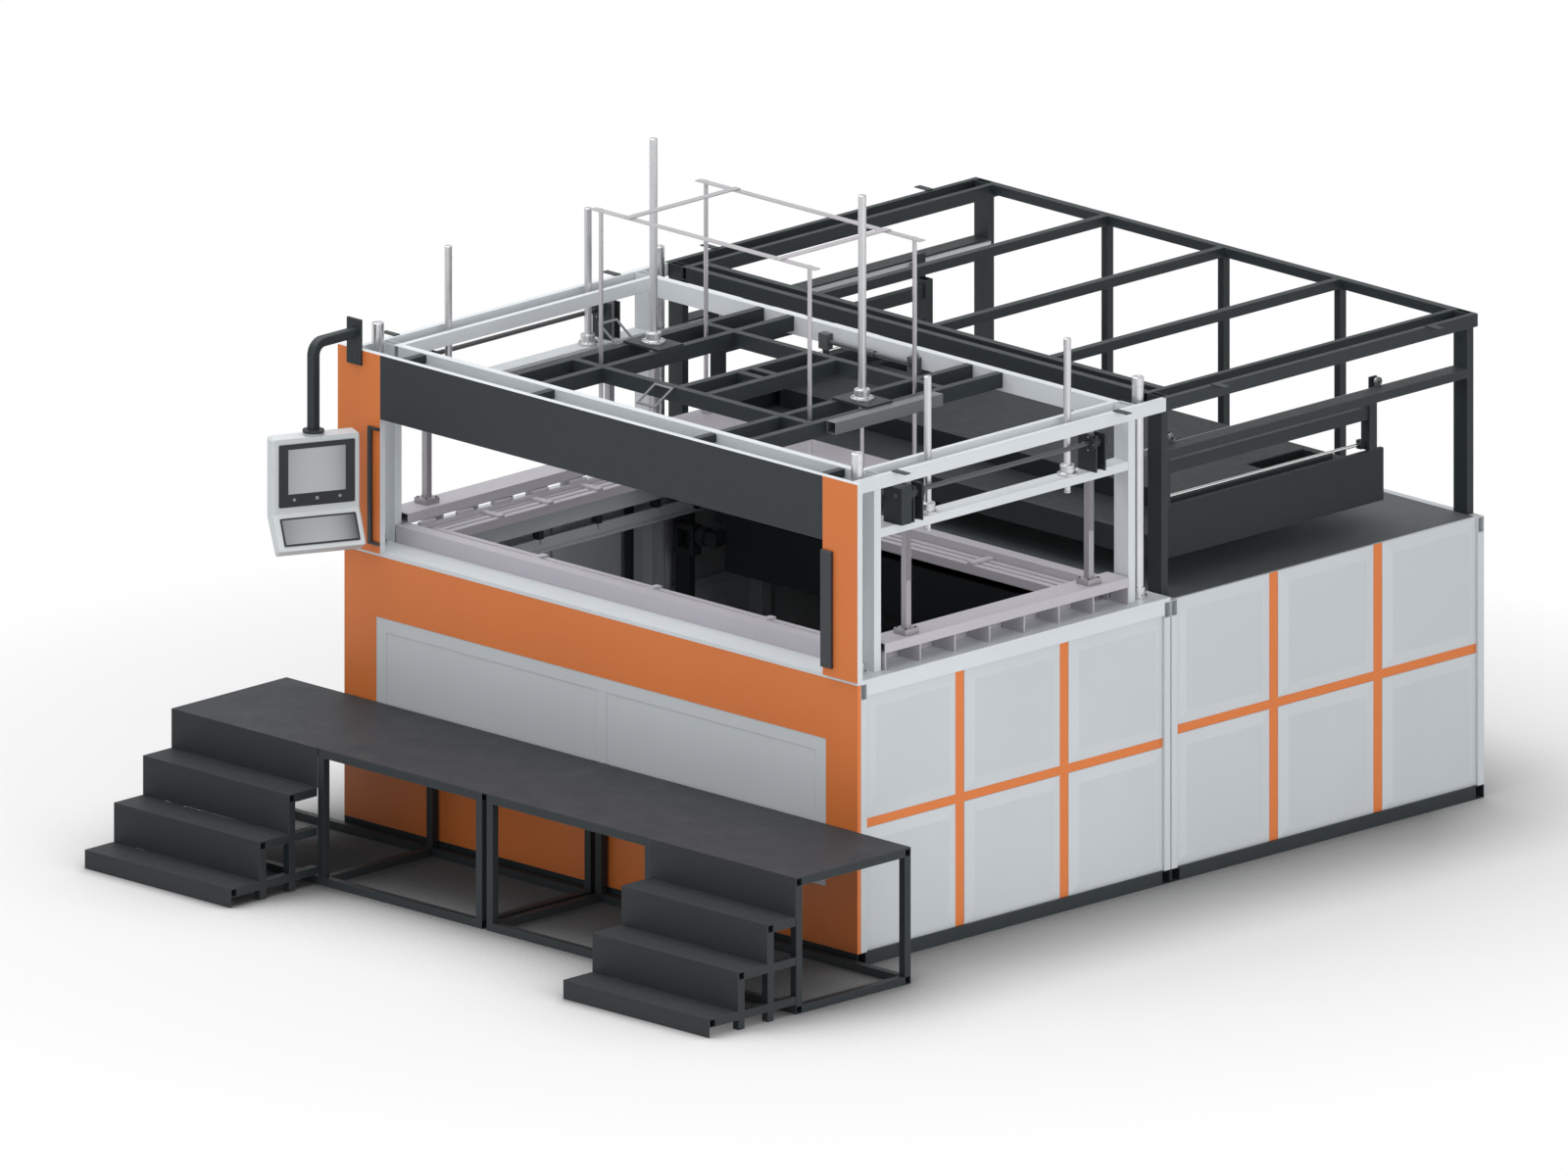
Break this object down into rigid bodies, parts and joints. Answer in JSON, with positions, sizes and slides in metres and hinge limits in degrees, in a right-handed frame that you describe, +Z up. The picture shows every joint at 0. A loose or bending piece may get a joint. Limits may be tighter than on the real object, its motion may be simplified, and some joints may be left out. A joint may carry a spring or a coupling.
{
  "type": "industrial vacuum forming machine",
  "caption": "Room-size vacuum former: clamp frame, plug platen and lift table in a portal station, travelling ovens behind, stepped operator platform.",
  "frame": {"origin": "on the floor, at the middle of the whole footprint including the platform and stairs", "axes": "+Z up, +Y from the operator's side towards the oven section, +X to the operator's right"},
  "size_m": [4.29, 5.707, 3.477],
  "materials": {
    "dark_frame": "semi-gloss powder coat, anthracite",
    "white_frame": "semi-gloss powder coat, light grey white",
    "panel_grey": "satin powder coat",
    "orange": "satin powder coat, orange",
    "slate": "satin powder coat, slate grey",
    "clamp_grey": "satin paint, warm grey",
    "platen": "milled and anodised plate",
    "steel": "ground shaft steel",
    "cylinder": "anodised profile",
    "black": "black anodised",
    "heater": "heat-stained tube",
    "deck_dark": "fine textured paint",
    "tank": "satin enamel",
    "plastic_grey": "textured enclosure paint",
    "plastic_dark": "matt moulding",
    "screen": "coated display glass",
    "key": "moulded key"
  },
  "bodies": {
    "machine": {"air_unit": "black", "base_frame": "dark_frame", "cabinet_frame": "panel_grey", "cladding_panels": "panel_grey", "cladding_strips": "orange", "clamp_cylinders": "cylinder", "front_deck": "white_frame", "front_fascia": "orange", "front_inset": "panel_grey", "guide_columns": "steel", "header_board": "slate", "lattice_fittings": "dark_frame", "lattice_frame": "dark_frame", "lift_drives": "black", "light_bars": "black", "lower_oven_rails": "black", "oven_tracks": "panel_grey", "panel_arm": "dark_frame", "pit_frame": "panel_grey", "platform_deck": "deck_dark", "platform_frame": "dark_frame", "plug_cylinders": "cylinder", "portal_posts": "orange", "rear_beams": "dark_frame", "rear_deck": "deck_dark", "rear_posts": "dark_frame", "spacers_and_hooks": "dark_frame", "stair_frames": "dark_frame", "stair_steps": "deck_dark", "station_side_frames": "white_frame", "station_top_frame": "white_frame", "table_bed": "dark_frame", "vacuum_unit": "tank"},
    "clamp_frame": {"clamp_members": "clamp_grey", "rack_posts": "steel"},
    "plug_platen": {"plug_platen": "platen", "platen_rods": "steel"},
    "upper_oven": {"upper_oven_box": "deck_dark", "upper_heaters": "heater", "upper_carriage": "dark_frame"},
    "lower_oven": {"lower_oven_box": "deck_dark", "lower_heaters": "heater"},
    "forming_table": {"forming_table": "platen"},
    "sync_shaft_left": {"sync_shaft_left": "steel"},
    "sync_shaft_right": {"sync_shaft_right": "steel"},
    "operator_panel": {"panel_housing": "plastic_grey", "panel_bezel": "plastic_dark", "panel_screen": "screen", "console_panel": "plastic_dark"},
    "clamp_rod_front_right": {"clamp_rod_front_right": "steel"},
    "clamp_rod_front_left": {"clamp_rod_front_left": "steel"},
    "clamp_rod_rear_left": {"clamp_rod_rear_left": "steel"},
    "clamp_rod_rear_right": {"clamp_rod_rear_right": "steel"},
    "oven_wheel_front_right": {"oven_wheel_front_right": "steel"},
    "oven_wheel_front_left": {"oven_wheel_front_left": "steel"},
    "oven_wheel_rear_left": {"oven_wheel_rear_left": "steel"},
    "oven_wheel_rear_right": {"oven_wheel_rear_right": "steel"},
    "panel_key_left": {"panel_key_left": "key"},
    "panel_key_middle": {"panel_key_middle": "key"},
    "panel_key_right": {"panel_key_right": "key"}
  },
  "joints": [
    {"name": "clamp_lift", "type": "slide", "parent": "machine", "child": "clamp_frame", "axis": [0, 0, -1], "range_m": [-0.45, 0]},
    {"name": "clamp_rod_front_right_press", "type": "slide", "parent": "machine", "child": "clamp_rod_front_right", "axis": [0, 0, -1], "range_m": [0, 0.48]},
    {"name": "clamp_rod_front_left_press", "type": "slide", "parent": "machine", "child": "clamp_rod_front_left", "axis": [0, 0, -1], "range_m": [0, 0.48]},
    {"name": "clamp_rod_rear_left_press", "type": "slide", "parent": "machine", "child": "clamp_rod_rear_left", "axis": [0, 0, -1], "range_m": [0, 0.48]},
    {"name": "clamp_rod_rear_right_press", "type": "slide", "parent": "machine", "child": "clamp_rod_rear_right", "axis": [0, 0, -1], "range_m": [0, 0.48]},
    {"name": "plug_press", "type": "slide", "parent": "machine", "child": "plug_platen", "axis": [0, 0, 1], "range_m": [-0.5, 0]},
    {"name": "upper_oven_travel", "type": "slide", "parent": "machine", "child": "upper_oven", "axis": [0, -1, 0], "range_m": [0, 1.964]},
    {"name": "lower_oven_travel", "type": "slide", "parent": "machine", "child": "lower_oven", "axis": [0, -1, 0], "range_m": [0, 1.86]},
    {"name": "table_lift", "type": "slide", "parent": "machine", "child": "forming_table", "axis": [0, 0, -1], "range_m": [-0.49, 0]},
    {"name": "oven_wheel_front_right_roll", "type": "hinge", "parent": "upper_oven", "child": "oven_wheel_front_right", "pos_m": [1.5872, 0.8805, 2.174], "axis": [1, 0, 0], "continuous": true},
    {"name": "oven_wheel_front_left_roll", "type": "hinge", "parent": "upper_oven", "child": "oven_wheel_front_left", "pos_m": [-1.5872, 0.8805, 2.174], "axis": [1, 0, 0], "continuous": true},
    {"name": "oven_wheel_rear_left_roll", "type": "hinge", "parent": "upper_oven", "child": "oven_wheel_rear_left", "pos_m": [-1.5872, 2.3005, 2.174], "axis": [1, 0, 0], "continuous": true},
    {"name": "oven_wheel_rear_right_roll", "type": "hinge", "parent": "upper_oven", "child": "oven_wheel_rear_right", "pos_m": [1.5872, 2.3005, 2.174], "axis": [1, 0, 0], "continuous": true},
    {"name": "sync_shaft_left_turn", "type": "hinge", "parent": "machine", "child": "sync_shaft_left", "pos_m": [-1.689, -0.3735, 2.3], "axis": [0, 1, 0], "continuous": true},
    {"name": "sync_shaft_right_turn", "type": "hinge", "parent": "machine", "child": "sync_shaft_right", "pos_m": [1.689, -0.3735, 2.3], "axis": [0, 1, 0], "continuous": true},
    {"name": "panel_swing", "type": "hinge", "parent": "machine", "child": "operator_panel", "pos_m": [-1.663, -1.7645, 2.084], "axis": [0, 0, 1], "range_deg": [-65, 60]},
    {"name": "panel_key_left_press", "type": "slide", "parent": "operator_panel", "child": "panel_key_left", "axis": [-0.9063, 0.4226, 0], "range_m": [0, 0.0015], "stiffness_N_per_m": 400, "springref_m": -0.003},
    {"name": "panel_key_middle_press", "type": "slide", "parent": "operator_panel", "child": "panel_key_middle", "axis": [-0.9063, 0.4226, 0], "range_m": [0, 0.0015], "stiffness_N_per_m": 400, "springref_m": -0.003},
    {"name": "panel_key_right_press", "type": "slide", "parent": "operator_panel", "child": "panel_key_right", "axis": [-0.9063, 0.4226, 0], "range_m": [0, 0.0015], "stiffness_N_per_m": 400, "springref_m": -0.003}
  ],
  "couplings": [
    {"joint": "clamp_rod_front_left_press", "follows": "clamp_rod_front_right_press", "ratio": 1},
    {"joint": "clamp_rod_rear_left_press", "follows": "clamp_rod_front_right_press", "ratio": 1},
    {"joint": "clamp_rod_rear_right_press", "follows": "clamp_rod_front_right_press", "ratio": 1},
    {"joint": "oven_wheel_front_right_roll", "follows": "upper_oven_travel", "rad_per_m": 41.667},
    {"joint": "oven_wheel_front_left_roll", "follows": "upper_oven_travel", "rad_per_m": 41.667},
    {"joint": "oven_wheel_rear_left_roll", "follows": "upper_oven_travel", "rad_per_m": 41.667},
    {"joint": "oven_wheel_rear_right_roll", "follows": "upper_oven_travel", "rad_per_m": 41.667},
    {"joint": "sync_shaft_right_turn", "follows": "clamp_lift", "rad_per_m": -40},
    {"joint": "sync_shaft_left_turn", "follows": "clamp_lift", "rad_per_m": 40}
  ]
}
